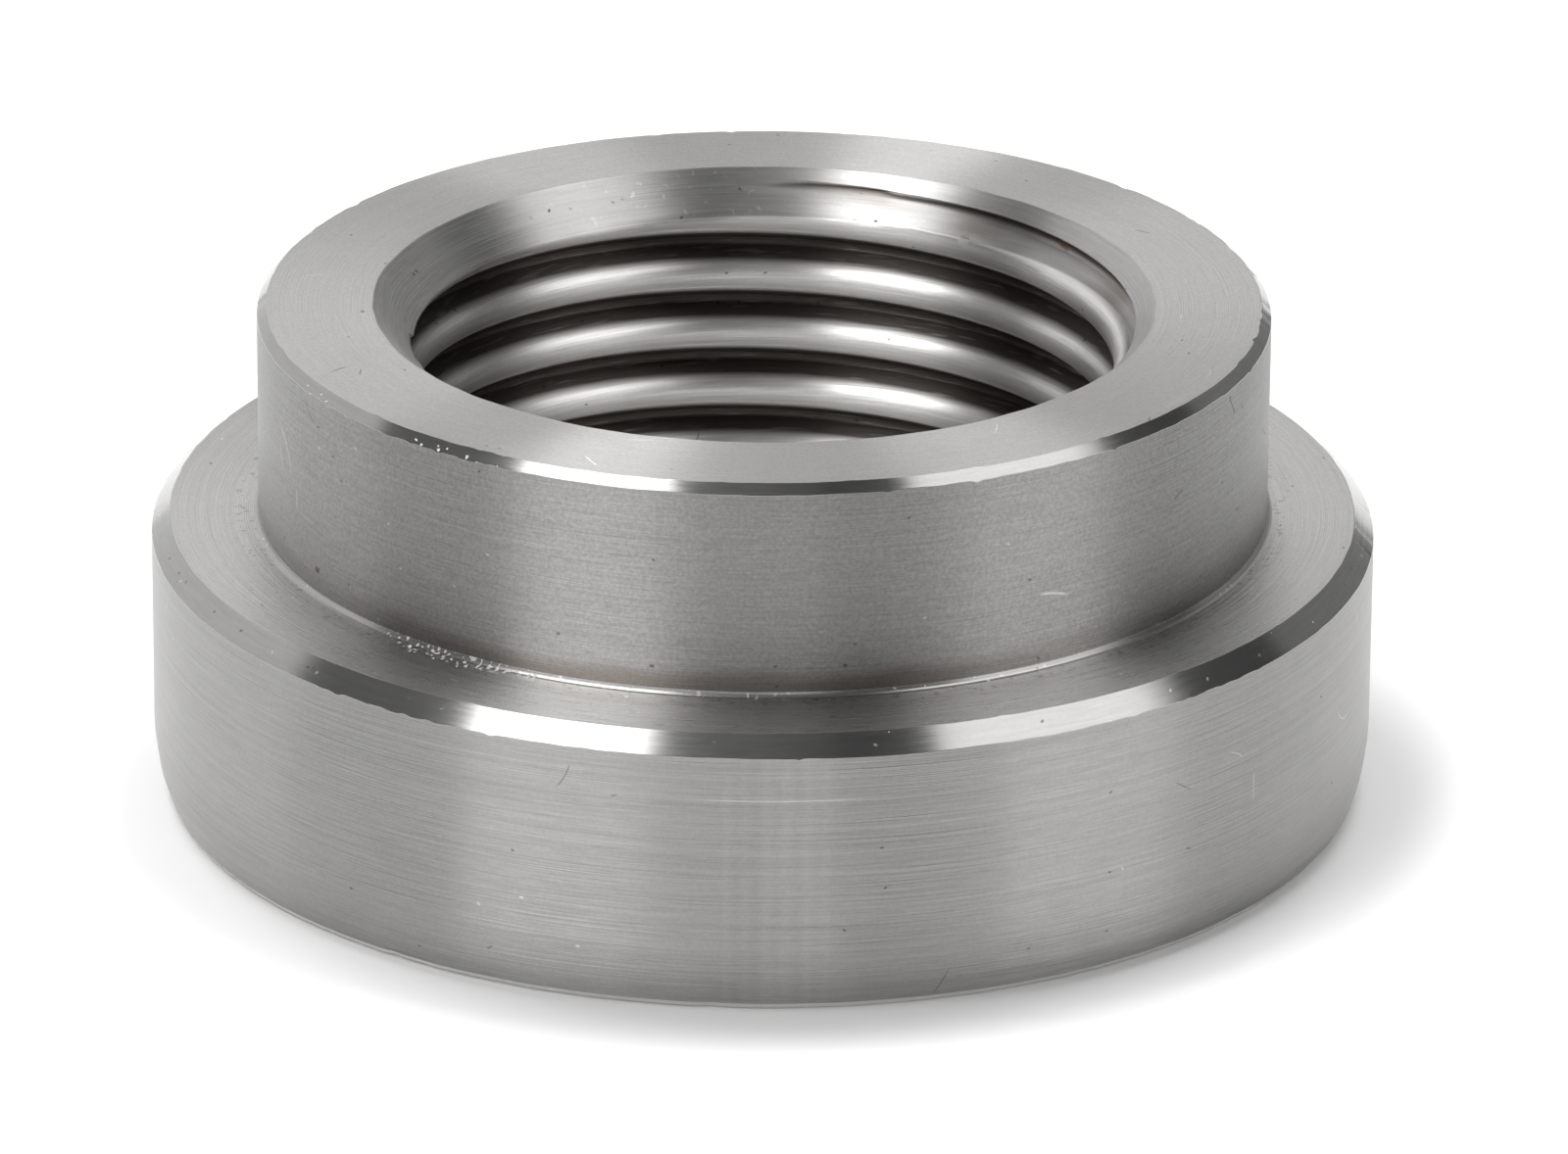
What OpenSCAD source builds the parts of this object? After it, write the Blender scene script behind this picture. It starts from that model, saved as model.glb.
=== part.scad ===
// Oxygen sensor bung: a stepped steel ring that is welded into a hole in a pipe.
// It stands on its flange. +Z runs up the bore, and the origin is the centre of the base face.

/* [Flange] */
// Diameter of the flange, which stays outside the pipe
flange_d = 29.1; // [27:0.1:40]
// Height of the flange, from the base face to the shoulder
flange_h = 6.8; // [4:0.1:15]
// Width of the 45 degree chamfer round the shoulder
shoulder_chamfer = 0.45; // [0.1:0.05:0.8]
// Width of the 45 degree edge break round the base face
base_break = 0.4; // [0.1:0.05:0.8]

/* [Boss] */
// Diameter of the boss, which fits the hole in the pipe
boss_d = 24; // [21.5:0.1:24.5]
// Height of the boss above the shoulder
boss_h = 5.2; // [2.5:0.1:20]
// Width of the 45 degree edge break round the top face
boss_break = 0.2; // [0.1:0.05:0.6]
// Radius that the tool nose leaves where the boss meets the shoulder
corner_r = 0.2; // [0.1:0.05:0.4]

/* [Bore] */
// Diameter across the crests of the sensor thread, which is the bore's wall
bore_d = 16.6; // [16.2:0.1:17.6]
// Diameter of the countersink where it meets the top face
top_mouth_d = 18.5; // [18.2:0.1:20.5]
// Diameter of the countersink where it meets the base face
base_mouth_d = 18.3; // [18.2:0.1:20.5]
// Angle across each countersink, from wall to wall
mouth_angle = 90; // [60:5:120]

/* [Thread] */
// Diameter across the roots of the sensor thread, which is its nominal size
thread_d = 18; // [17.4:0.1:18.1]
// Height that one turn of the thread gains
thread_pitch = 1.5; // [1.25:0.25:2]
// Angle from +X, anticlockwise, at which the middle of the groove reaches the top face
thread_start = 167; // [7:10:357]

/* [Hidden] */
// How far a cutting shape runs past the face that it cuts
overcut = 1;
total_h = flange_h + boss_h;
steel = [0.62, 0.61, 0.59];
$fn = 180;
// Straight steps in one turn of the thread
thread_steps = 36;
// Half of the flat at the root of the groove
root_half = thread_pitch / 16;
// Half of the groove's cutter at its inner edge, where one turn nearly meets the next
cutter_half = 0.47 * thread_pitch;
// Radius of that inner edge, which the 30 degree flanks give
cutter_inner_r = thread_d / 2 - (cutter_half - root_half) / tan(30);

// Depth of a countersink that opens the bore out to one mouth
function mouth_depth(mouth_d) = (mouth_d - bore_d) / 2 / tan(mouth_angle / 2);

// Half section of a disc that stands on z = 0, with its two outer corners broken
module disc_section(d, h, low_break, high_break) {
    polygon([
        [0, 0],
        [d / 2 - low_break, 0],
        [d / 2, low_break],
        [d / 2, h - high_break],
        [d / 2 - high_break, h],
        [0, h],
    ]);
}

// Material that the tool nose leaves in the corner on top of the shoulder
module corner_section() {
    difference() {
        translate([boss_d / 2 - corner_r, flange_h - corner_r])
            square(2 * corner_r);
        translate([boss_d / 2 + corner_r, flange_h + corner_r])
            circle(corner_r);
    }
}

// Half section of one countersink, with its mouth at z = 0 and its point down the bore
module mouth_section(mouth_d) {
    slope = tan(mouth_angle / 2);
    polygon([
        [0, overcut],
        [mouth_d / 2 + overcut * slope, overcut],
        [bore_d / 2, -mouth_depth(mouth_d)],
        [0, -mouth_depth(mouth_d)],
    ]);
}

// Half section of the bore, with a countersink at each end
module bore_section() {
    translate([0, -overcut])
        square([bore_d / 2, total_h + 2 * overcut]);
    translate([0, total_h])
        mouth_section(top_mouth_d);
    mirror([0, 1])
        mouth_section(base_mouth_d);
}

// The ring as it comes off the lathe, with a plain bore
module blank() {
    rotate_extrude()
        difference() {
            union() {
                disc_section(flange_d, flange_h, base_break, shoulder_chamfer);
                disc_section(boss_d, total_h, 0, boss_break);
                corner_section();
            }
            bore_section();
        }
}

// Four corners of the thread's cutter at one angle, with the middle of the groove at height z
function cutter_section(angle, z) = [
    for (corner = [
        [cutter_inner_r, -cutter_half],
        [thread_d / 2, -root_half],
        [thread_d / 2, root_half],
        [cutter_inner_r, cutter_half],
    ])
        [corner[0] * cos(angle), corner[0] * sin(angle), z + corner[1]]
];

// The cutter's section swept up a right-hand helix, from one turn below the base to one above the top
module thread_cutter() {
    turns = ceil(total_h / thread_pitch) + 2;
    last = turns * thread_steps;
    points = [
        for (step = [0 : last])
            each cutter_section(
                thread_start + 360 * step / thread_steps,
                total_h + thread_pitch * (step / thread_steps - turns + 1)
            )
    ];
    sides = [
        for (step = [0 : last - 1])
            for (edge = [0 : 3])
                let (a = 4 * step + edge, b = 4 * step + (edge + 1) % 4)
                    each [[a, b + 4, a + 4], [a, b, b + 4]]
    ];
    ends = [[3, 2, 1, 0], [for (corner = [0 : 3]) 4 * last + corner]];
    polyhedron(points, concat(sides, ends));
}

// The whole ring, made from one bar
module bung() {
    color(steel)
        difference() {
            blank();
            thread_cutter();
        }
}

bung();
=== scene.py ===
"""The looks of an oxygen sensor bung: a turned steel ring with a threaded bore, on a white table."""

import math

import bpy
import numpy as np
from mathutils import Matrix, Vector


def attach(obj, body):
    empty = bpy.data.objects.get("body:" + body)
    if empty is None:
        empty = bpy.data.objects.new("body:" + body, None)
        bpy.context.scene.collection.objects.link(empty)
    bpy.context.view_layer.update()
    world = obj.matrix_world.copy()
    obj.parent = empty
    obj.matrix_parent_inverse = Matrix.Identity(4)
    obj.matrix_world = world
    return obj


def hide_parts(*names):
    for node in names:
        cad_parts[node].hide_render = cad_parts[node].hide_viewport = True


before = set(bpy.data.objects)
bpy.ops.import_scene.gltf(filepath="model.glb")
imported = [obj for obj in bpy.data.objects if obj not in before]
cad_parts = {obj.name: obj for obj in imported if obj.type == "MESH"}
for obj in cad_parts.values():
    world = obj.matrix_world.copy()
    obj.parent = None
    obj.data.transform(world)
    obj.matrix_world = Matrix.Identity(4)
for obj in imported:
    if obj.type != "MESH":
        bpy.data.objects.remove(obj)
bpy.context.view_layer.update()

MM = 0.001

# Sizes in millimetres, as in the part's source
FLANGE_R = 14.55
FLANGE_H = 6.8
BOSS_R = 12.0
TOTAL_H = 12.0
SHOULDER_CHAMFER = 0.45
BASE_BREAK = 0.4
BOSS_BREAK = 0.2
# Sharper than the source's 0.2, as the photo shows it
CORNER_R = 0.13
CREST_R = 8.3
ROOT_R = 9.0
TOP_MOUTH_R = 9.25
BASE_MOUTH_R = 9.15
PITCH = 1.5
ROOT_HALF = PITCH / 16
FLANK_RISE = math.tan(math.radians(30))
# The groove gets shallower as its middle nears this height on the countersink, where it runs out
RUN_OUT_Z = 11.86
RUN_OUT_SPAN = 0.40
RUN_OUT_LIFT = 0.25
THREAD_START = math.radians(167)
# The foot of the wall rolls in: heights, each with the share of the edge break that it has lost there
FOOT_ROLL = ((0.14, 0.75), (0.62, 0.32))
FOOT_ROLL_TOP = 1.45
# How far past the bore's mouths the outside's line begins and ends, which gives it its direction there
LEAD_IN = 0.6
# The thread's end on the top countersink lies within this depth of the top face
END_DEPTH = 1.0

# Columns round the axis: the outside, whose edges carry the wear, has twice as many as the bore
OUTER_COLUMNS = 960
BORE_COLUMNS = 480


# Noise and wear round the axis

def ring_noise(angles, cells, seed):
    """Smooth noise from -1 to 1 round the axis, with that many random values in one turn."""
    values = np.random.default_rng(seed).uniform(-1, 1, cells)
    place = (angles / (2 * math.pi)) % 1 * cells
    low = np.floor(place).astype(int) % cells
    part = place - np.floor(place)
    part = part * part * (3 - 2 * part)
    return values[low] * (1 - part) + values[(low + 1) % cells] * part


def nicks(angles, count, width, depth, seed):
    """Narrow dents of random depth, from 0 to depth, at random places round the axis."""
    rng = np.random.default_rng(seed)
    total = np.zeros_like(angles)
    for place, share, size in zip(
        rng.uniform(0, 2 * math.pi, count), rng.uniform(0.2, 1, count) ** 2, rng.uniform(0.5, 1.5, count)
    ):
        away = (angles - place + math.pi) % (2 * math.pi) - math.pi
        total = np.maximum(total, depth * share * np.exp(-(away / (width * size)) ** 2))
    return total


def ragged(angles, azimuth, half, size, cells, seed):
    """An edge that is torn within half of an azimuth, both in degrees from the front."""
    away = np.abs((np.degrees(angles) + 90 - azimuth + 180) % 360 - 180)
    return size * np.clip(2 - 2 * away / half, 0, 1) * ring_noise(angles, cells, seed)


# Section lines

def round_corners(points, radii, steps=2):
    """Rounds each inner corner of an open line and returns its points and their normals.

    points is a list of (r, z) pairs, which may be arrays over the columns. The two end points only give
    the line its direction. Each arc has that many steps. A normal lies on the left of the line's direction.
    """
    placed, normals = [], []
    count = len(points)
    pts = [np.stack(np.broadcast_arrays(*p), -1).astype(float) for p in points]
    for i in range(1, count - 1):
        before, here, after = pts[i - 1], pts[i], pts[i + 1]
        into, out = here - before, after - here
        len_in = np.linalg.norm(into, axis=-1, keepdims=True) + 1e-9
        len_out = np.linalg.norm(out, axis=-1, keepdims=True) + 1e-9
        into, out = into / len_in, out / len_out
        turn = np.arccos(np.clip((into * out).sum(-1, keepdims=True), -1, 1))
        reach = np.minimum(radii[i] * np.tan(turn / 2), 0.45 * np.minimum(len_in, len_out))
        start, end = here - into * reach, here + out * reach
        n_in = np.stack([-into[..., 1], into[..., 0]], -1)
        n_out = np.stack([-out[..., 1], out[..., 0]], -1)
        for step in range(steps + 1):
            t = step / steps
            placed.append((1 - t) ** 2 * start + 2 * t * (1 - t) * here + t * t * end)
            normal = (1 - t) * n_in + t * n_out
            normals.append(normal / (np.linalg.norm(normal, axis=-1, keepdims=True) + 1e-9))
    return placed, normals


def outer_section(angles):
    """The outside of the ring, from the mouth in the base face round to the mouth in the top face."""
    zero = np.zeros_like(angles)
    # Each break: its size, a slow drift, a fine unevenness, nicks, and stretches that are torn as in the photo
    base_cut = BASE_BREAK + 0.03 * ring_noise(angles, 9, 1) + 0.012 * ring_noise(angles, 160, 2)
    base_cut += nicks(angles, 26, 0.012, 0.05, 3)
    chamfer = SHOULDER_CHAMFER + 0.02 * ring_noise(angles, 7, 4)
    chamfer_low = chamfer + 0.012 * ring_noise(angles, 210, 5) + nicks(angles, 40, 0.007, 0.06, 6)
    chamfer_high = chamfer + 0.010 * ring_noise(angles, 150, 7) + nicks(angles, 24, 0.008, 0.06, 8)
    chamfer_low += ragged(angles, -36, 9, 0.035, 420, 14) + ragged(angles, 45, 7, 0.03, 400, 15)
    chamfer_high += ragged(angles, -30, 6, 0.02, 400, 16)
    boss = BOSS_BREAK + 0.03 * ring_noise(angles, 6, 9)
    boss_low = boss + 0.012 * ring_noise(angles, 190, 10) + nicks(angles, 36, 0.010, 0.07, 11)
    boss_high = boss + 0.012 * ring_noise(angles, 170, 12) + nicks(angles, 36, 0.012, 0.08, 13)
    boss_low += ragged(angles, -37, 9, 0.035, 440, 17) + ragged(angles, -59, 5, 0.03, 440, 18)
    boss_high += ragged(angles, -31, 5, 0.03, 440, 19)
    bow = CORNER_R * (1 - math.sqrt(0.5))
    (low_z, low_share), (high_z, high_share) = FOOT_ROLL
    corners = [
        (zero + BASE_MOUTH_R + LEAD_IN, zero, 0),
        (FLANGE_R - base_cut, zero, 0.05),
        (FLANGE_R - low_share * base_cut, zero + low_z, 0.3),
        (FLANGE_R - high_share * base_cut, zero + high_z, 2.0),
        (zero + FLANGE_R, zero + FOOT_ROLL_TOP, 4.0),
        (zero + FLANGE_R, FLANGE_H - chamfer_low, 0.035),
        (FLANGE_R - chamfer_high, zero + FLANGE_H, 0.035),
        (zero + BOSS_R + CORNER_R, zero + FLANGE_H, 0.06),
        (zero + BOSS_R + bow, zero + FLANGE_H + bow, 0.10),
        (zero + BOSS_R, zero + FLANGE_H + CORNER_R, 0.06),
        (zero + BOSS_R, TOTAL_H - boss_low, 0.03),
        (BOSS_R - boss_high, zero + TOTAL_H, 0.03),
        (zero + TOP_MOUTH_R + LEAD_IN, zero + TOTAL_H, 0),
    ]
    return round_corners([(r, z) for r, z, _ in corners], [radius for _, _, radius in corners])


def thread_radius(z, middles):
    """Radius of the thread's surface at heights z, in a column whose grooves have these middles."""
    away = np.min(np.abs(z[:, None] - middles[None, :]), axis=1)
    last = np.min(np.abs(middles - RUN_OUT_Z))
    shallower = RUN_OUT_LIFT * np.clip(1 - last / RUN_OUT_SPAN, 0, 1)
    depth = np.where(z > TOTAL_H - END_DEPTH, shallower, 0)
    return np.clip(ROOT_R - (away - ROOT_HALF) / FLANK_RISE - depth, CREST_R, ROOT_R)


def bore_corners(angle, top_r, base_r):
    """Corners of the bore in one column, from the top mouth down: the deepest of thread and cones."""
    first = TOTAL_H + PITCH * ((angle - THREAD_START) / (2 * math.pi) % 1)
    middles = first - PITCH * np.arange(0, int(TOTAL_H / PITCH) + 3)
    flank = (ROOT_R - CREST_R) * FLANK_RISE
    steps = np.array([ROOT_HALF + flank, ROOT_HALF, -ROOT_HALF, -ROOT_HALF - flank])
    heights = (middles[:, None] + steps[None, :]).ravel()
    top_end, base_end = TOTAL_H - (top_r - CREST_R), base_r - CREST_R
    heights = np.append(heights, [0, TOTAL_H, top_end, base_end])
    heights = np.unique(heights[(heights >= 0) & (heights <= TOTAL_H)])[::-1]

    def cones(z):
        return np.maximum(top_r - (TOTAL_H - z), base_r - z)

    gap = thread_radius(heights, middles) - cones(heights)
    crossings = []
    for i in np.nonzero(gap[:-1] * gap[1:] < -1e-12)[0]:
        share = gap[i] / (gap[i] - gap[i + 1])
        crossings.append(heights[i] + share * (heights[i + 1] - heights[i]))
    heights = np.unique(np.append(heights, crossings))[::-1]
    radius = np.maximum(thread_radius(heights, middles), cones(heights))
    line = list(zip(radius, heights))
    kept = [line[0]]
    for here, after in zip(line[1:-1], line[2:]):
        before = kept[-1]
        bend = (here[0] - before[0]) * (after[1] - here[1]) - (here[1] - before[1]) * (after[0] - here[0])
        if abs(bend) > 1e-5:
            kept.append(here)
    kept.append(line[-1])
    return kept


def bore_column(angle, top_r, base_r):
    """Rounded points and normals of the bore in one column, with its two mouths."""
    corners = bore_corners(angle, top_r, base_r)
    line = [(top_r + 0.3, TOTAL_H)] + corners + [(base_r + 0.3, 0.0)]
    radii = [0]
    for (r, z), (r_after, _) in zip(line[1:-1], line[2:]):
        on_cone = abs(r - max(top_r - (TOTAL_H - z), base_r - z)) < 1e-6
        if z in (0.0, TOTAL_H):
            radii.append(0.05)
        elif r < CREST_R + 0.01:
            # A crest's upper corner is rounder than its lower one
            radii.append(0.34 if r_after < CREST_R + 0.01 else 0.12)
        elif on_cone:
            radii.append(0.03)
        else:
            radii.append(float(np.interp(z, [TOTAL_H - 1.2, TOTAL_H - 0.5], [0.08, 0.2])))
    radii.append(0)
    placed, normals = round_corners([(np.array(r), np.array(z)) for r, z in line], radii)
    return np.array(placed), np.array(normals)


# The bung's mesh

def turned(section, angle):
    """Points or normals of a section, as (r, z) pairs, carried to their angles round the axis."""
    r, z = section[..., 0], section[..., 1]
    return np.stack([r * np.cos(angle), r * np.sin(angle), z], -1)


def zip_columns(left, right, left_base, right_base):
    """Triangles between two columns of points, always across the shorter diagonal."""
    faces, i, j = [], 0, 0
    while i < len(left) - 1 or j < len(right) - 1:
        if j == len(right) - 1:
            go_left = True
        elif i == len(left) - 1:
            go_left = False
        else:
            go_left = np.sum((left[i + 1] - right[j]) ** 2) < np.sum((left[i] - right[j + 1]) ** 2)
        if go_left:
            faces.append((left_base + i, right_base + j, left_base + i + 1))
            i += 1
        else:
            faces.append((left_base + i, right_base + j, right_base + j + 1))
            j += 1
    return faces


def bung_mesh():
    """The whole ring as one closed mesh, with a normal for each vertex and a zone for each face."""
    vertices, normals, faces, zones = [], [], [], []

    angles = np.arange(OUTER_COLUMNS) * 2 * math.pi / OUTER_COLUMNS
    placed, leaning = outer_section(angles)
    rows = len(placed)
    outer = np.stack([turned(p, angles) for p in placed])
    lean = np.stack([turned(n, angles) for n in leaning])
    # The line runs anticlockwise in (r, z), so the outside is on its right
    vertices.append(outer.reshape(-1, 3))
    normals.append(-lean.reshape(-1, 3))
    zone_of_row = []
    for row in range(rows - 1):
        middle = (placed[row][0] + placed[row + 1][0]) / 2
        normal = -(leaning[row][0] + leaning[row + 1][0])
        zone_of_row.append(outer_zone(middle, normal))
    for row in range(rows - 1):
        for c in range(OUTER_COLUMNS):
            d = (c + 1) % OUTER_COLUMNS
            faces.append((row * OUTER_COLUMNS + c, row * OUTER_COLUMNS + d,
                          (row + 1) * OUTER_COLUMNS + d, (row + 1) * OUTER_COLUMNS + c))
            zones.append(zone_of_row[row])

    bore_angles = np.arange(BORE_COLUMNS) * 2 * math.pi / BORE_COLUMNS
    top_r = TOP_MOUTH_R + 0.015 * ring_noise(bore_angles, 90, 21) + nicks(bore_angles, 30, 0.012, 0.01, 22)
    base_r = BASE_MOUTH_R + 0.015 * ring_noise(bore_angles, 90, 23)
    lead = PITCH / (2 * math.pi)
    columns, starts = [], []
    at = outer.shape[0] * outer.shape[1]
    for angle, top, base in zip(bore_angles, top_r, base_r):
        points, lean2 = bore_column(angle, top, base)
        columns.append(points)
        starts.append(at)
        at += len(points)
        vertices.append(turned(points, angle))
        # A bore runs down, so the open side is on the line's right as well
        n3 = -turned(lean2, angle)
        # Between the countersinks the normals lean with the helix
        slope = np.where((points[:, 1] > 0.9) & (points[:, 1] < TOTAL_H - END_DEPTH), 1.0, 0.0)
        round_axis = np.array([-math.sin(angle), math.cos(angle), 0])
        n3 += (slope * n3[:, 2] * -lead / points[:, 0])[:, None] * round_axis
        normals.append(n3 / np.linalg.norm(n3, axis=1, keepdims=True))
    for c in range(BORE_COLUMNS):
        d = (c + 1) % BORE_COLUMNS
        for face in zip_columns(columns[c], columns[d], starts[c], starts[d]):
            faces.append(face)
            heights = []
            for v in face:
                k = c if starts[c] <= v < starts[c] + len(columns[c]) else d
                heights.append(columns[k][v - starts[k]][1])
            zones.append(bore_zone(np.mean(heights)))

    # The flat rings that join the outside to the bore, two outer columns to one of the bore
    share = OUTER_COLUMNS // BORE_COLUMNS
    top_row = (rows - 1) * OUTER_COLUMNS
    for c in range(BORE_COLUMNS):
        d = (c + 1) % BORE_COLUMNS
        outs = [(c * share + k) % OUTER_COLUMNS for k in range(share + 1)]
        ends = [starts[c] + len(columns[c]) - 1, starts[d] + len(columns[d]) - 1]
        for k in range(share):
            inner = starts[c] if k < share / 2 else starts[d]
            faces.append((top_row + outs[k], top_row + outs[k + 1], inner))
            zones.append("top")
            low = ends[0] if k < share / 2 else ends[1]
            faces.append((outs[k + 1], outs[k], low))
            zones.append("base")
        faces.append((top_row + outs[(share + 1) // 2], starts[d], starts[c]))
        zones.append("top")
        faces.append((outs[(share + 1) // 2], ends[0], ends[1]))
        zones.append("base")
    return np.concatenate(vertices) * MM, np.concatenate(normals), faces, zones


def outer_zone(middle, normal):
    """Name of the turned surface that a row of the outside belongs to, by margins wider than any break."""
    r, z = middle
    if abs(normal[1]) > 1.9:
        return "base" if z < 1 else ("shoulder" if z < TOTAL_H - 1 else "top")
    if z > TOTAL_H - 0.6:
        return "edge"
    if z > FLANGE_H + 0.25:
        return "boss"
    if r < BOSS_R + 0.5:
        return "corner"
    if z > FLANGE_H - 0.6:
        return "edge"
    return "wall" if z > 0.16 else "rim"


def bore_zone(z):
    """Name of the surface that a face of the bore belongs to, from the height of its middle."""
    if z > TOTAL_H - 1e-4:
        return "top"
    return "base" if z < 1e-4 else "bore"


def make_bung(materials):
    """The bung as one piece, with one material for each of its surfaces."""
    vertices, normals, faces, zones = bung_mesh()
    mesh = bpy.data.meshes.new("bung_ring")
    mesh.from_pydata(vertices.tolist(), [], faces)
    names = sorted(materials)
    for name in names:
        mesh.materials.append(materials[name])
    mesh.polygons.foreach_set("material_index", [names.index(z) for z in zones])
    mesh.polygons.foreach_set("use_smooth", [True] * len(faces))
    mesh.update()
    mesh.normals_split_custom_set_from_vertices(normals.tolist())
    piece = bpy.data.objects.new("bung_ring", mesh)
    bpy.context.scene.collection.objects.link(piece)
    return piece


# Node helpers

class Graph:
    """A node tree with short calls for the nodes that the materials use."""

    def __init__(self, tree):
        self.tree = tree

    def node(self, kind, **sockets):
        """A new node, with its sockets set by name, where _ stands for a space."""
        made = self.tree.nodes.new(kind)
        for name, value in sockets.items():
            self.put(made.inputs[name.replace("_", " ")], value)
        return made

    def put(self, socket, value):
        """Links a socket to another, or sets its value."""
        if isinstance(value, bpy.types.NodeSocket):
            self.tree.links.new(value, socket)
        else:
            socket.default_value = value

    def math(self, operation, *values):
        """The result of a Math node."""
        made = self.tree.nodes.new("ShaderNodeMath")
        made.operation = operation
        for socket, value in zip(made.inputs, values):
            self.put(socket, value)
        return made.outputs[0]

    def ramp(self, value, low, high, out_low=0.0, out_high=1.0):
        """Smooth step of a value from low to high."""
        made = self.tree.nodes.new("ShaderNodeMapRange")
        made.interpolation_type = "SMOOTHSTEP"
        for socket, number in zip(made.inputs, (value, low, high, out_low, out_high)):
            self.put(socket, number)
        return made.outputs[0]

    def product(self, *values):
        """The product of several values."""
        total = values[0]
        for value in values[1:]:
            total = self.math("MULTIPLY", total, value)
        return total

    def mix(self, share, first, second):
        """The first colour where share is 0, and the second where it is 1."""
        made = self.tree.nodes.new("ShaderNodeMix")
        made.data_type = "RGBA"
        self.put(made.inputs[0], share)
        self.put(made.inputs[6], first)
        self.put(made.inputs[7], second)
        return made.outputs[2]

    def paint(self, colour, coat, *shares):
        """A colour under a coat that covers the product of the shares."""
        return self.mix(self.product(*shares), colour, coat)

    def vector(self, operation, first, second):
        """The result of a Vector Math node."""
        made = self.tree.nodes.new("ShaderNodeVectorMath")
        made.operation = operation
        self.put(made.inputs[0], first)
        self.put(made.inputs["Scale"] if operation == "SCALE" else made.inputs[1], second)
        return made.outputs["Value" if operation == "DOT_PRODUCT" else "Vector"]

    def largest(self, *values):
        """The largest of several values."""
        most = values[0]
        for value in values[1:]:
            most = self.math("MAXIMUM", most, value)
        return most

    def combine(self, x, y, z):
        return self.node("ShaderNodeCombineXYZ", X=x, Y=y, Z=z).outputs[0]

    def noise(self, vector, detail=0.0, roughness=0.5):
        """Noise from 0 to 1 with one cell to a unit."""
        made = self.tree.nodes.new("ShaderNodeTexNoise")
        for name, value in (("Vector", vector), ("Scale", 1.0), ("Detail", detail), ("Roughness", roughness)):
            self.put(made.inputs[name], value)
        return made.outputs[0]

    def moved(self, place, seed):
        """A place moved by a seed, so that patterns with other seeds differ."""
        return self.vector("ADD", place, (seed, seed * 0.7, seed * 1.3))

    def cells(self, place, seed, size, detail=0.0):
        """Noise from 0 to 1 with cells of that size, in millimetres."""
        return self.noise(self.vector("SCALE", self.moved(place, seed), 1 / size), detail)


def rgb(r, g, b):
    return (r, g, b, 1.0)


STEEL_HUE = (1.01, 1.0, 0.985)
DARK_MARK = rgb(0.10, 0.08, 0.07)
BRIGHT_MARK = rgb(0.90, 0.89, 0.87)
# Pale colour of grains that don't mirror: painted glints of burrs
BURR_GLINT = rgb(0.80, 0.79, 0.77)
BOSS_FILM = rgb(0.14, 0.10, 0.075)
BOSS_SPOT = rgb(0.09, 0.055, 0.035)
SHOULDER_SPECK = rgb(0.17, 0.12, 0.09)
STAIN = rgb(0.20, 0.15, 0.12)
RUST = rgb(0.16, 0.085, 0.05)
# Colours of painted shade on the crests' lower sides, and of painted shade in the grooves and under the
# run-out's edge
CREST_UNDERSIDE_SHADE = rgb(0.11, 0.10, 0.09)
GROOVE_SHADE = rgb(0.055, 0.040, 0.032)
# Most of the steel that the painted shade in the thread and a painted burr glint cover
GROOVE_SHADE_MOST = 0.93
GRIT_MOST = 0.9


def polar(graph, across):
    """Coordinates round the axis, in millimetres: the place as a vector, its height z and radius r, its
    direction as cosine and sine, its azimuth from the front in radians, its place across the lay, which is
    z or r, and the unit vectors along the lay and over it."""
    place = graph.node("ShaderNodeTexCoord").outputs["Object"]
    split = graph.node("ShaderNodeSeparateXYZ", Vector=place)
    x, y, z = (graph.math("MULTIPLY", split.outputs[i], 1 / MM) for i in range(3))
    radius = graph.math("SQRT", graph.math("ADD", graph.math("MULTIPLY", x, x), graph.math("MULTIPLY", y, y)))
    at = {"solid": graph.combine(x, y, z), "z": z, "r": radius,
          "c": graph.math("DIVIDE", x, radius), "s": graph.math("DIVIDE", y, radius),
          "azimuth": graph.math("ARCTAN2", x, graph.math("MULTIPLY", y, -1.0))}
    at["across"] = at[across]
    at["lay"] = graph.combine(graph.math("MULTIPLY", at["s"], -1.0), at["c"], 0.0)
    at["over"] = graph.combine(0.0, 0.0, 1.0) if across == "z" else graph.combine(at["c"], at["s"], 0.0)
    return at


def lay_noise(graph, at, along, across, seed, detail=0.0):
    """Noise that is drawn out along the lay: cells per millimetre along it and across it."""
    turn = graph.math("MULTIPLY", at["r"], along)
    vector = graph.combine(
        graph.math("MULTIPLY", at["c"], turn), graph.math("MULTIPLY", at["s"], turn),
        graph.math("MULTIPLY_ADD", at["across"], across, seed))
    return graph.noise(vector, detail)


def stroke(graph, u, w, cosine, sine, bend, length, width):
    """1 on a line of that length and width through (0, 0), turned by an angle and bent, else 0."""
    along = graph.math("MULTIPLY_ADD", w, sine, graph.math("MULTIPLY", u, cosine))
    beside = graph.math("SUBTRACT", graph.math("MULTIPLY", w, cosine), graph.math("MULTIPLY", u, sine))
    if bend is not None:
        beside = graph.math("MULTIPLY_ADD", graph.math("MULTIPLY", along, along), bend, beside)
    return graph.math("MULTIPLY",
                      graph.ramp(graph.math("ABSOLUTE", along), length / 2, length / 4),
                      graph.ramp(graph.math("ABSOLUTE", beside), width / 2, width / 5))


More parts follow.
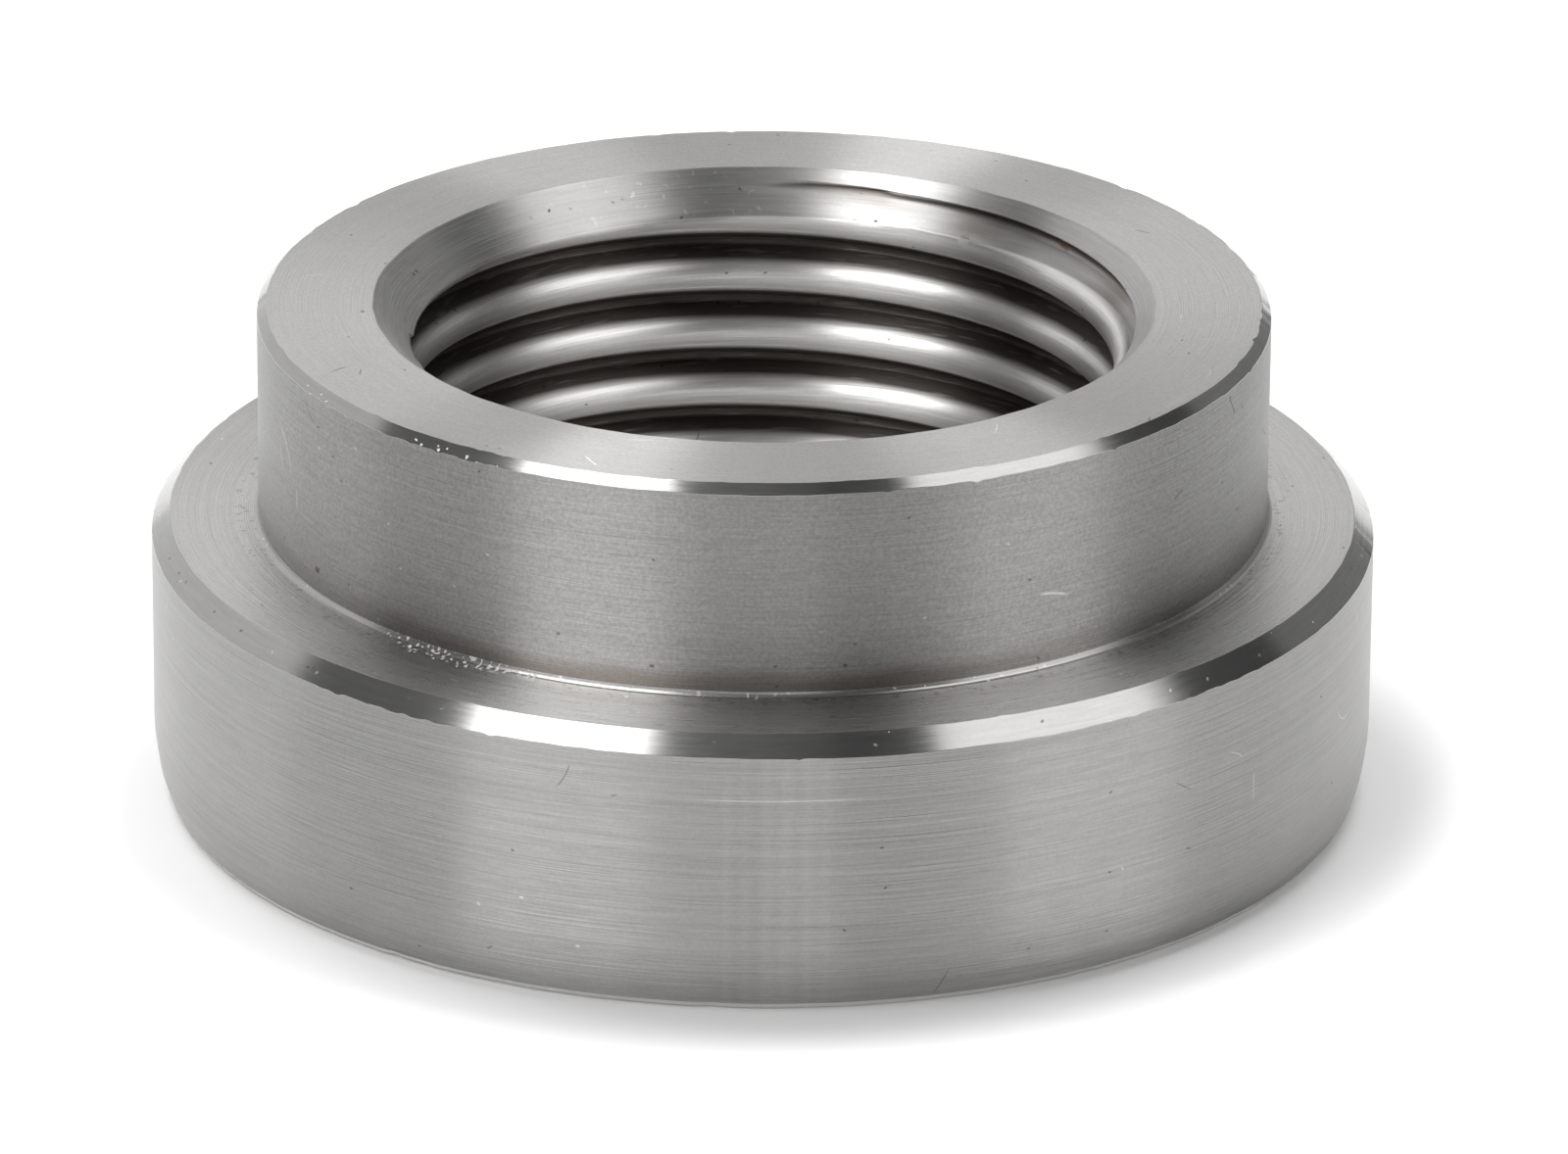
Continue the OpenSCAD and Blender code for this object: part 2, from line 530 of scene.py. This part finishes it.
def strewn(graph, at, seed, spacing, length, width, turn):
    """Marks strewn over a surface, one to a cell, each turned from the lay by up to half of turn.

    Returns the marks, and a random number from 0 to 1 that picks among them.
    """
    moved = graph.moved(at["solid"], seed)
    cell = graph.node("ShaderNodeTexVoronoi", Vector=moved, Scale=1 / spacing)
    off = graph.vector("SUBTRACT", moved, cell.outputs["Position"])
    pick = graph.node("ShaderNodeSeparateXYZ", Vector=cell.outputs["Color"])
    angle = graph.math("MULTIPLY", graph.math("SUBTRACT", pick.outputs[0], 0.5), turn)
    bend = graph.math("MULTIPLY", graph.math("SUBTRACT", pick.outputs[1], 0.5), 1.5 / spacing)
    u, w = graph.vector("DOT_PRODUCT", off, at["lay"]), graph.vector("DOT_PRODUCT", off, at["over"])
    line = stroke(graph, u, w, graph.math("COSINE", angle), graph.math("SINE", angle), bend, length, width)
    return line, pick.outputs[2]


def placed(graph, at, marks):
    """Single marks, each given by its azimuth in degrees from the front, its place across the lay, its
    length and width in millimetres, its tilt from the lay in degrees and its bend."""
    most = 0.0
    for phi, place, length, width, tilt, bend in marks.values():
        u = graph.math("MULTIPLY", graph.math("SUBTRACT", at["azimuth"], math.radians(phi)), at["r"])
        w = graph.math("SUBTRACT", at["across"], place)
        line = stroke(graph, u, w, math.cos(math.radians(tilt)), math.sin(math.radians(tilt)), bend or None,
                      length, width)
        most = graph.math("MAXIMUM", most, line)
    return most


def near_azimuth(graph, at, phi, half, soft):
    """1 within half of an azimuth, in degrees from the front, and 0 beyond soft from there."""
    away = graph.math("ABSOLUTE", graph.math("SUBTRACT", at["azimuth"], math.radians(phi)))
    return graph.ramp(away, math.radians(half + soft), math.radians(half))


# Steel

def strewn_wear(graph, at, seed, colour, pits, sparkle, scratches):
    """Small wear strewn over a surface: dark pits, bright specks, and scratches of both kinds.

    Each of the three is the share of cells that carry a mark. Returns the colour and where the marks are.
    """
    spot, pick = strewn(graph, at, seed + 1.1, 0.5, 0.11, 0.065, 1.2)
    pit = graph.product(spot, graph.math("LESS_THAN", pick, pits))
    speck = graph.product(spot, graph.math("GREATER_THAN", pick, 1 - sparkle))
    line, pick = strewn(graph, at, seed + 3.7, 1.7, 0.8, 0.035, math.pi)
    dark = graph.largest(pit, graph.product(line, graph.math("LESS_THAN", pick, scratches * 0.6)))
    bright = graph.largest(speck, graph.product(line, graph.math("GREATER_THAN", pick, 1 - scratches)))
    colour = graph.paint(colour, DARK_MARK, dark, 0.6)
    colour = graph.paint(colour, BRIGHT_MARK, bright, 0.5)
    return colour, graph.largest(dark, bright)


def steel(name, across="z", tint=0.44, rough=0.32, anisotropy=1.0, spread_um=8.0, brushed=0.10,
          grain=0.08, speckle=0.04, blotch=0.05, pits=0.02, sparkle=0.02, scratches=0.05,
          wear=None, glint_grains=None, seed=0.0):
    """Turned steel with its lay round the axis.

    spread_um is the height of the fine lines, which spread a reflection across the lay. brushed, grain,
    speckle and blotch are the contrast of the long lines, the short ones, the matte grain and the clouds.
    wear changes the colour; in the bore it also paints shade, and on the wall a reflection.
    The last argument says where pale grains lie on the steel, which don't mirror: they are painted glints of
    burrs.
    """
    made = bpy.data.materials.new(name)
    made.use_nodes = True
    made.node_tree.nodes.clear()
    graph = Graph(made.node_tree)
    at = polar(graph, across)

    long_lines = lay_noise(graph, at, 0.10, 14.0, seed + 1.3, 1.0)
    short_lines = lay_noise(graph, at, 1.1, 18.0, seed + 5.1, 1.0)
    fine_lines = lay_noise(graph, at, 0.25, 38.0, seed + 7.7)
    matte = graph.cells(at["solid"], seed + 2.2, 0.08, 1.0)
    cloud = graph.cells(at["solid"], seed + 9.7, 2.2, 2.0)
    at["short lines"], at["cloud"] = short_lines, cloud

    shade = 1.0
    for value, contrast in ((long_lines, brushed), (short_lines, grain), (matte, speckle), (cloud, blotch)):
        shade = graph.math("MULTIPLY_ADD", graph.math("SUBTRACT", value, 0.5), contrast * 2, shade)
    colour = graph.vector("SCALE", tuple(tint * part for part in STEEL_HUE), shade)
    colour, worn = strewn_wear(graph, at, seed, colour, pits, sparkle, scratches)
    if wear:
        colour = wear(graph, at, colour)
    metallic = 1.0
    # Pale grains that don't mirror paint the glints of burrs
    if glint_grains:
        grains = glint_grains(graph, at)
        colour = graph.mix(grains, colour, BURR_GLINT)
        metallic = graph.math("SUBTRACT", 1.0, grains)

    roughness = graph.math("MULTIPLY_ADD", graph.math("SUBTRACT", short_lines, 0.5), 0.05, rough)
    roughness = graph.math("MULTIPLY_ADD", worn, 0.15, roughness)

    height = graph.math("MULTIPLY_ADD", long_lines, 0.6, fine_lines)
    bump = graph.node("ShaderNodeBump", Strength=1.0, Distance=spread_um * 1e-6, Height=height)
    tangent = graph.tree.nodes.new("ShaderNodeTangent")
    tangent.direction_type = "RADIAL"
    tangent.axis = "Z"
    # The quarter turn stretches what the steel mirrors across the lay
    shader = graph.node("ShaderNodeBsdfPrincipled", Base_Color=colour, Metallic=metallic, Roughness=roughness,
                        Anisotropic=anisotropy, Anisotropic_Rotation=0.25,
                        Normal=bump.outputs[0], Tangent=tangent.outputs[0])
    out = graph.node("ShaderNodeOutputMaterial")
    graph.put(out.inputs["Surface"], shader.outputs[0])
    return made


def wall_wear_and_reflection(graph, at, colour):
    """Faint upright stripes in front, which are a painted reflection, and the marks that show on the flange's
    wall.

    The painted stripes are a wave of 1.85 degrees with a weaker one of 4.3 degrees.
    """
    # The stripes are a painted reflection
    short_wave = graph.math("SINE", graph.product(at["azimuth"], 360 / 1.85))
    long_wave = graph.math("SINE", graph.product(at["azimuth"], 360 / 4.3))
    stripe_reflection = graph.math("MULTIPLY_ADD", long_wave, 0.6, short_wave)
    share = graph.product(near_azimuth(graph, at, 1.5, 4.6, 0.6), 0.022)
    colour = graph.vector("SCALE", colour, graph.math("MULTIPLY_ADD", stripe_reflection, share, 1.0))
    bright = placed(graph, at, {
        "long scratch": (2, 5.31, 4.6, 0.035, 0, 0),
        "hook": (49.2, 4.45, 0.62, 0.035, -28, 0.5),
        "upright scratch": (51.8, 3.40, 0.85, 0.035, 90, 0),
        "loop": (70.0, 3.45, 1.3, 0.045, -20, -0.9),
        "left dot": (-22.1, 2.43, 0.13, 0.08, 0, 0),
        "low dot": (-16.7, 1.41, 0.13, 0.08, 0, 0),
    })
    dark = placed(graph, at, {
        "slanting scratch": (42.0, 4.17, 0.70, 0.035, -32, 0),
        "left nick": (-25.4, 1.00, 0.20, 0.06, 30, 0),
        "middle nick": (-13.3, 5.27, 0.16, 0.06, 20, 0),
        "right nick": (42.8, 2.55, 0.20, 0.06, -20, 0),
    })
    colour = graph.paint(colour, DARK_MARK, dark, 0.5)
    return graph.paint(colour, BRIGHT_MARK, bright, 0.4)


def boss_wear(graph, at, colour):
    """Brown film that gathers on the boss just above the shoulder, and the marks that show on it."""
    low = graph.ramp(graph.math("MULTIPLY_ADD", at["cloud"], -0.5, at["z"]), FLANGE_H + 0.55, FLANGE_H + 0.05)
    front = near_azimuth(graph, at, -6, 20, 30)
    colour = graph.paint(colour, BOSS_FILM, low, graph.math("MULTIPLY_ADD", front, 0.34, 0.20))
    bright = placed(graph, at, {
        "loop": (-68.0, 9.95, 1.5, 0.05, -52, 0.35),
        "loop's end": (-70.0, 9.60, 0.8, 0.04, -70, -0.3),
        "upright scratch": (-65.1, 8.88, 0.55, 0.05, 90, 0),
        "scuff": (34.0, 8.60, 0.9, 0.09, -12, 0.2),
    })
    dark = placed(graph, at, {
        "brown spot": (-59.9, 7.47, 0.26, 0.20, 0, 0),
        "left pit": (-22.9, 7.97, 0.12, 0.09, 0, 0),
        "middle pit": (-12.1, 7.46, 0.14, 0.10, 0, 0),
        "right pit": (9.1, 7.56, 0.12, 0.09, 0, 0),
        "scratch": (53.2, 9.96, 0.45, 0.05, 25, 0),
    })
    colour = graph.paint(colour, BOSS_SPOT, dark, 0.7)
    return graph.paint(colour, BRIGHT_MARK, bright, 0.4)


def top_wear(graph, at, colour):
    """The marks that show on the top face."""
    dark = placed(graph, at, {
        "dot": (-84.4, 9.52, 0.20, 0.13, 0, 0),
        "left scratch": (-64.4, 11.0, 0.55, 0.06, 70, 0.4),
        "second scratch": (-62.3, 10.6, 0.40, 0.05, 30, 0),
        "far scratch": (118, 10.3, 0.50, 0.05, -30, 0),
    })
    bright = placed(graph, at, {
        "dash": (84.7, 9.87, 0.40, 0.06, 5, 0),
        "curve": (66.3, 11.36, 0.60, 0.05, -20, 0.8),
        "left rub": (-98, 10.8, 0.50, 0.07, 60, 0),
    })
    colour = graph.paint(colour, DARK_MARK, dark, 0.6)
    return graph.paint(colour, BRIGHT_MARK, bright, 0.5)


def shoulder_wear(graph, at, colour):
    """Brown specks that gather in the corner under the boss, and one bright dash in front on the left."""
    inner = graph.ramp(at["r"], BOSS_R + 0.95, BOSS_R + 0.25)
    speck = graph.ramp(graph.cells(at["solid"], 31.0, 0.16, 1.0), 0.60, 0.75)
    colour = graph.paint(colour, SHOULDER_SPECK, inner, speck, 0.5)
    dash = placed(graph, at, {"dash": (-32.6, 13.11, 0.30, 0.10, 5, 0)})
    return graph.paint(colour, BRIGHT_MARK, dash, 0.9)


def shoulder_burr_glints(graph, at):
    """Painted glints of burrs: pale grains along the boss's foot in front, most of them on the left."""
    grain = graph.cells(at["solid"], 37.0, 0.11)
    wide_foot = graph.ramp(at["r"], BOSS_R + 0.6, BOSS_R + 0.2)
    narrow_foot = graph.ramp(at["r"], BOSS_R + 0.35, BOSS_R + 0.1)
    thick = graph.product(near_azimuth(graph, at, -35, 7, 7), wide_foot)
    thin = graph.product(near_azimuth(graph, at, -5, 35, 10), narrow_foot)
    least = graph.math("MULTIPLY_ADD", thick, -0.21, graph.math("MULTIPLY_ADD", thin, -0.06, 0.86))
    return graph.ramp(graph.math("SUBTRACT", grain, least), 0.0, 0.05, 0.0, GRIT_MOST)


def edge_burr_glints(graph, at):
    """Painted glints of burrs: pale grains low on the torn parts of the boss's edge break, and a very few
    elsewhere.
    """
    grain = graph.cells(at["solid"], 41.0, 0.10)
    on_boss = graph.ramp(at["z"], TOTAL_H - 1, TOTAL_H - 0.9)
    low = graph.ramp(at["z"], TOTAL_H - 0.08, TOTAL_H - 0.13)
    torn = graph.largest(near_azimuth(graph, at, -36.5, 5.5, 2), near_azimuth(graph, at, -60, 2.0, 1.5))
    least = graph.math("MULTIPLY_ADD", graph.product(torn, on_boss, low), -0.20, 0.88)
    return graph.ramp(graph.math("SUBTRACT", grain, least), 0.0, 0.05, 0.0, GRIT_MOST)


def thread_place(graph, at):
    """Depth below the crests and the cone in millimetres, and the place in the pitch: 0 in the middle of the
    groove, negative above it and positive below, to half a turn at the middle of the crest."""
    cone = graph.math("SUBTRACT", at["z"], TOTAL_H - TOP_MOUTH_R)
    depth = graph.math("SUBTRACT", at["r"], graph.math("MAXIMUM", cone, CREST_R))
    turns = graph.math("DIVIDE", graph.math("SUBTRACT", TOTAL_H, at["z"]), PITCH)
    past_start = graph.math("SUBTRACT", at["azimuth"], THREAD_START + math.pi / 2)
    around = graph.math("DIVIDE", past_start, 2 * math.pi)
    phase = graph.math("FRACT", graph.math("ADD", graph.math("ADD", turns, around), 0.5))
    return depth, graph.math("SUBTRACT", phase, 0.5)


def bore_wear_and_shade(graph, at, colour):
    """The countersinks, which are greyer than the crests, whose light tint is painted light, and what sticks to
    the thread.

    Painted shade deepens into the grooves and darkens the lower side of each crest. Upright specks lie low on
    the countersink. Its run-out has a painted shadow along its upper edge, with stains below it and rust on its
    right.
    """
    depth, phase = thread_place(graph, at)
    low_end, base_end = TOTAL_H - (TOP_MOUTH_R - CREST_R), BASE_MOUTH_R - CREST_R
    on_cone = graph.math("ADD", graph.ramp(at["z"], low_end - 0.02, low_end + 0.02),
                         graph.ramp(at["z"], base_end + 0.02, base_end - 0.02))
    off_cone = graph.math("SUBTRACT", 1.0, on_cone)
    # The crests keep the bore's light tint, which is painted light, and the countersinks are greyer
    colour = graph.vector("SCALE", colour, graph.math("MULTIPLY_ADD", on_cone, -0.41, 1.0))

    speck = graph.ramp(graph.noise(graph.vector("MULTIPLY", at["solid"], (6.0, 6.0, 2.0)), 1.0), 0.64, 0.74)
    most = graph.math("MULTIPLY_ADD", near_azimuth(graph, at, -172, 14, 10), 0.35, 0.10)
    colour = graph.paint(colour, BRIGHT_MARK, speck, most, on_cone)
    cloudy = graph.ramp(at["cloud"], 0.35, 0.75, 0.1, 0.5)
    colour = graph.paint(colour, STAIN, graph.ramp(depth, 0.02, 0.12), cloudy, on_cone)
    # Painted shadow of the overhang along the run-out's upper edge
    upper = graph.product(graph.ramp(phase, 0.10, -0.03), graph.ramp(depth, 0.02, 0.10))
    colour = graph.paint(colour, GROOVE_SHADE, upper, GROOVE_SHADE_MOST, on_cone)
    clump = placed(graph, at, {
        "clump": (126.5, 11.45, 0.50, 0.26, 10, 0),
        "streak": (134, 11.50, 1.3, 0.08, 2, 0),
    })
    colour = graph.paint(colour, RUST, clump, graph.ramp(at["short lines"], 0.2, 0.6), 0.75)

    # Painted shade on the lower side of each crest
    crest_underside_shade = graph.ramp(graph.math("FRACT", phase), 0.40, 0.64)
    colour = graph.paint(colour, CREST_UNDERSIDE_SHADE, crest_underside_shade, 0.55, off_cone)
    # Painted shade that deepens into the grooves, mottled
    groove_darkening = graph.product(graph.ramp(depth, 0.12, 0.38), graph.ramp(at["short lines"], -0.6, 0.6))
    below = graph.ramp(at["z"], low_end + 0.15, low_end - 0.10)
    return graph.paint(colour, GROOVE_SHADE, graph.math("MINIMUM", groove_darkening, GROOVE_SHADE_MOST), below)


def steels():
    """One material for each surface of the ring."""
    return {
        "top": steel("steel_top", "r", tint=0.62, rough=0.29, brushed=0.05, grain=0.07, speckle=0.15,
                     wear=top_wear, seed=10),
        "base": steel("steel_base", "r", tint=0.50, seed=20),
        "shoulder": steel("steel_shoulder", "r", tint=0.62, rough=0.28, speckle=0.10, pits=0.03,
                          wear=shoulder_wear, glint_grains=shoulder_burr_glints, seed=30),
        "edge": steel("steel_edge", tint=0.42, rough=0.17, anisotropy=0.6, spread_um=1.5, brushed=0.06,
                      pits=0.12, sparkle=0.1, glint_grains=edge_burr_glints, seed=40),
        # The rim's light tint is painted light: it lifts the foot, which mirrors the table's shadow
        "rim": steel("steel_rim_painted_light", tint=0.75, rough=0.45, anisotropy=0.6, spread_um=3.0, seed=45),
        "corner": steel("steel_corner", rough=0.25, anisotropy=0.6, spread_um=3.0, pits=0.3, sparkle=0.5,
                        glint_grains=shoulder_burr_glints, seed=50),
        "wall": steel("steel_wall", tint=0.355, spread_um=9.0, brushed=0.12, grain=0.12, speckle=0.09,
                      pits=0.006, sparkle=0.006, scratches=0.02, wear=wall_wear_and_reflection, seed=60),
        "boss": steel("steel_boss", tint=0.335, rough=0.44, anisotropy=0.95, spread_um=9.0, brushed=0.09,
                      grain=0.15, speckle=0.26, sparkle=0.01, scratches=0.02, wear=boss_wear, seed=70),
        # The bore's light tint is painted light, which brightens the crests
        "bore": steel("steel_bore_painted_light", tint=0.88, rough=0.41, anisotropy=0.88, spread_um=6.5, grain=0.14,
                      pits=0.05, sparkle=0.12, wear=bore_wear_and_shade, seed=80),
    }


# Table, light and camera

TABLE_WHITE = 0.85
TABLE_GLOW = 0.10
# The lamps over the table: direction from the ring, and radiance
TABLE_LAMPS = {
    "left_rear_lamp": ((-0.25, 0.23, 0.94), 12.0),
    "right_rear_lamp": ((0.20, 0.28, 0.94), 12.0),
    "front_lamp": ((-0.36, -0.20, 0.91), 4.5),
}
# What lights the table beside the lamps, from every side
TABLE_AMBIENT = 0.12


def make_floor():
    """A wide white table that keeps the ring's shadow. Its glow lets the camera and the metal see it whiter."""
    made = bpy.data.materials.new("white_table")
    made.use_nodes = True
    made.node_tree.nodes.clear()
    graph = Graph(made.node_tree)
    path = graph.node("ShaderNodeLightPath")
    seen = graph.largest(*(path.outputs[f"Is {kind} Ray"] for kind in ("Camera", "Glossy", "Transmission")))
    paper = graph.node("ShaderNodeBsdfDiffuse", Color=rgb(TABLE_WHITE, TABLE_WHITE, TABLE_WHITE))
    glow = graph.node("ShaderNodeEmission", Color=rgb(1, 1, 1), Strength=graph.product(seen, TABLE_GLOW))
    both = graph.node("ShaderNodeAddShader")
    graph.put(both.inputs[0], paper.outputs[0])
    graph.put(both.inputs[1], glow.outputs[0])
    out = graph.node("ShaderNodeOutputMaterial")
    graph.put(out.inputs["Surface"], both.outputs[0])

    size, drop = 1.5, 0.00002
    mesh = bpy.data.meshes.new("table")
    mesh.from_pydata([(-size, -size, -drop), (size, -size, -drop), (size, size, -drop), (-size, size, -drop)],
                     [], [(0, 1, 2, 3)])
    mesh.materials.append(made)
    floor = bpy.data.objects.new("table", mesh)
    bpy.context.scene.collection.objects.link(floor)


def table_lamp(name, direction, radiance):
    """A square lamp that lights the table and casts the ring's shadow. The metal sees the studio instead."""
    distance, side = 0.6, 0.22
    lamp = bpy.data.lights.new(name, "AREA")
    lamp.shape = "SQUARE"
    lamp.size = side
    lamp.energy = radiance * math.pi * side * side
    made = bpy.data.objects.new(name, lamp)
    made.location = Vector(direction).normalized() * distance
    made.rotation_mode = "QUATERNION"
    made.rotation_quaternion = made.location.to_track_quat("Z", "Y")
    made.visible_camera, made.visible_glossy = False, False
    bpy.context.scene.collection.objects.link(made)


# The studio is laid out by mirrors: where a facet of the ring sends the camera's view. Each side is given by
# the azimuths of the facets that show it, in degrees from the front and positive to the right, and by its level
# in facets that are upright like the walls, slanting like the chamfers and flat like the top face. The view is
# the photo's, as a fixed direction, so the studio stays where it is when the ring is seen from elsewhere
TO_CAMERA = (0.0, -0.923, 0.384)
SIDES = {
    "left rear": (-110, -49, 0.66, 0.84, 0.86),
    "left gap": (-49, -29, 0.10, 0.18, 0.78),
    "left": (-29, -10.5, 0.95, 0.35, 0.78),
    "front": (-10.5, 1.5, 0.95, 0.20, 0.76),
    "front strip": (1.5, 6.5, 1.80, 0.16, 0.75),
    "front right": (6.5, 17, 0.08, 0.09, 0.74),
    "right": (17, 43, 0.10, 0.22, 0.72),
    "right gap": (43, 58, 0.0, 0.09, 0.67),
    "right rear": (58, 110, 0.14, 0.28, 0.68),
    "low rear": (110, 250, 0.50, 0.50, 0.70),
}
# The softboxes, the right one in two parts: the azimuths of the facets that show them, how soft each of the two
# edges is, the tilts of those facets from upright, and the radiance
SOFTBOXES = {
    "left softbox": (-28.4, -10.6, 0.6, 0.3, 26, 62, 3.9),
    "right softbox": (16.8, 41.0, 0.5, 3.0, 36, 64, 1.80),
    "right softbox, lower half": (23.0, 42.0, 1.5, 4.0, 12, 36, 1.40),
}


def make_world():
    """A plain studio: grey sides and two softboxes for the metal, an even light for the table, and white where
    the camera itself looks past the table."""
    world = bpy.data.worlds.new("studio")
    bpy.context.scene.world = world
    world.use_nodes = True
    world.node_tree.nodes.clear()
    graph = Graph(world.node_tree)
    toward = graph.node("ShaderNodeTexCoord").outputs["Generated"]
    facet = graph.vector("ADD", toward, TO_CAMERA)
    x, y, z = graph.node("ShaderNodeSeparateXYZ", Vector=facet).outputs
    back = graph.math("MULTIPLY", y, -1.0)
    flat = graph.math("SQRT", graph.math("ADD", graph.math("MULTIPLY", x, x), graph.math("MULTIPLY", y, y)))
    azimuth = graph.math("MULTIPLY", graph.math("ARCTAN2", x, back), 180 / math.pi)
    tilt = graph.math("MULTIPLY", graph.math("ARCTAN2", z, flat), 180 / math.pi)

    def between(value, low, high, soft_low, soft_high):
        """1 from low to high, with an edge of its own softness at each end."""
        return graph.math("MULTIPLY", graph.ramp(value, low - soft_low, low + soft_low),
                          graph.ramp(value, high + soft_high, high - soft_high))

    # The tilt is 0 in an upright facet and 90 in a flat one
    upright, flat_part = graph.ramp(tilt, 25, 12), graph.ramp(tilt, 58, 72)
    slanting = graph.math("SUBTRACT", graph.math("SUBTRACT", 1.0, upright), flat_part)
    level = 0.0
    for left, right, low, middle, high in SIDES.values():
        away = graph.math("WRAP", graph.math("SUBTRACT", azimuth, (left + right) / 2), 180.0, -180.0)
        side = between(away, (left - right) / 2, (right - left) / 2, 1.2, 1.2)
        height = graph.math("MULTIPLY_ADD", flat_part, high, graph.math("MULTIPLY", upright, low))
        height = graph.math("MULTIPLY_ADD", slanting, middle, height)
        level = graph.math("MULTIPLY_ADD", side, height, level)
    for left, right, soft_left, soft_right, low, high, radiance in SOFTBOXES.values():
        side = between(azimuth, left, right, soft_left, soft_right)
        lamp = graph.math("MULTIPLY", side, between(tilt, low, high, 1.5, 4))
        level = graph.math("MULTIPLY_ADD", graph.math("SUBTRACT", radiance, level), lamp, level)

    path = graph.node("ShaderNodeLightPath")
    for kind, plain in (("Is Diffuse Ray", TABLE_AMBIENT), ("Is Camera Ray", 1.0)):
        level = graph.math("MULTIPLY_ADD", graph.math("SUBTRACT", plain, level), path.outputs[kind], level)
    studio = graph.node("ShaderNodeBackground", Color=rgb(1, 1, 1), Strength=level)
    out = graph.node("ShaderNodeOutputWorld")
    graph.put(out.inputs["Surface"], studio.outputs[0])


def make_camera():
    """The photo's camera, as fitted to the edges of the ring: place in millimetres and angles in degrees."""
    back, high = 259.011, 109.608
    pitch, yaw, roll = math.radians(-22.0044), math.radians(0.1137), math.radians(0.415)
    ahead = Vector((math.sin(yaw) * math.cos(pitch), math.cos(yaw) * math.cos(pitch), math.sin(pitch)))
    right = Vector((math.cos(yaw), -math.sin(yaw), 0))
    up = right.cross(ahead)
    right, up = math.cos(roll) * right + math.sin(roll) * up, math.cos(roll) * up - math.sin(roll) * right
    data = bpy.data.cameras.new("camera")
    data.sensor_fit = "HORIZONTAL"
    data.sensor_width = 36
    data.lens = 268.571
    data.clip_start, data.clip_end = 0.01, 10
    camera = bpy.data.objects.new("camera", data)
    turn = Matrix((right, up, -ahead)).transposed().to_4x4()
    camera.matrix_world = Matrix.Translation((0, -back * MM, high * MM)) @ turn
    bpy.context.scene.collection.objects.link(camera)
    bpy.context.scene.camera = camera


bpy.context.scene.view_settings.view_transform = "Standard"
make_camera()
make_world()
for lamp_name, (toward_lamp, lamp_radiance) in TABLE_LAMPS.items():
    table_lamp(lamp_name, toward_lamp, lamp_radiance)
make_floor()

bung = make_bung(steels())
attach(bung, "root")
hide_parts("bung")
